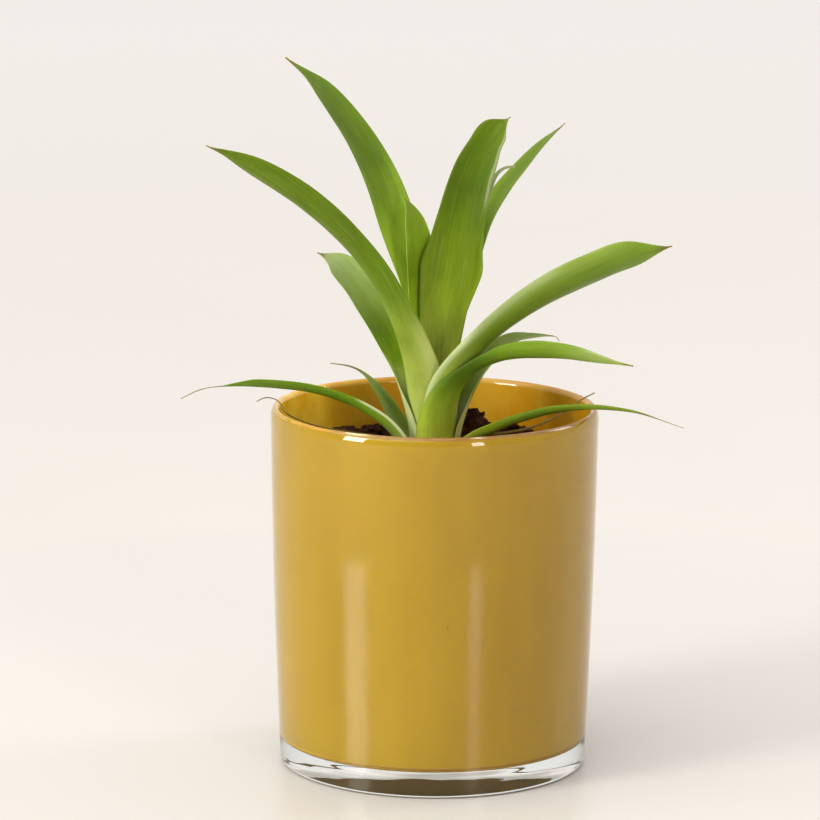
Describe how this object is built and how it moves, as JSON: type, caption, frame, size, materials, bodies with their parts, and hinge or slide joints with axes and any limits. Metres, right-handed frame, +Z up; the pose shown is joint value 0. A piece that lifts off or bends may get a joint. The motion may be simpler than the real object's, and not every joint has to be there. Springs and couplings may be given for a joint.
{
  "type": "potted guzmania",
  "caption": "Young bromeliad of arching strap leaves that sheathe one another in a low funnel, growing in dark bark in a round mustard glass pot with a clear casing and base.",
  "frame": {"origin": "centre of the flat underside of the pot, on the surface that it stands on", "axes": "+Z up, -Y towards the front of the plant as pictured, +X to the right seen from the front"},
  "size_m": [0.2055, 0.135, 0.2902],
  "materials": {
    "clear_glass": "clear, polished",
    "mustard_glass": "opaque mustard glass, glossy",
    "growing_medium": "rough dark bark and peat chunks",
    "stem": "woody, matte",
    "leaf": "waxy leaf with a soft sheen",
    "pale_leaf": "greyish young leaf with a powdery bloom",
    "dry_leaf": "dried, matte"
  },
  "bodies": {
    "root": {"pot_clear_glass": "clear_glass", "pot_colour_layer": "mustard_glass", "soil": "growing_medium", "stem": "stem", "leaf_centre": "leaf", "leaf_inner_left": "leaf", "leaf_inner_small": "pale_leaf", "leaf_back_right": "leaf", "leaf_upper_left": "leaf", "leaf_left_long": "leaf", "leaf_right_long": "leaf", "leaf_left_short": "leaf", "leaf_right_low": "leaf", "leaf_right_behind": "leaf", "leaf_left_small": "leaf", "leaf_low_left": "leaf", "leaf_low_right": "leaf", "leaf_dry_left": "dry_leaf", "leaf_dry_right": "dry_leaf"}
  },
  "joints": []
}
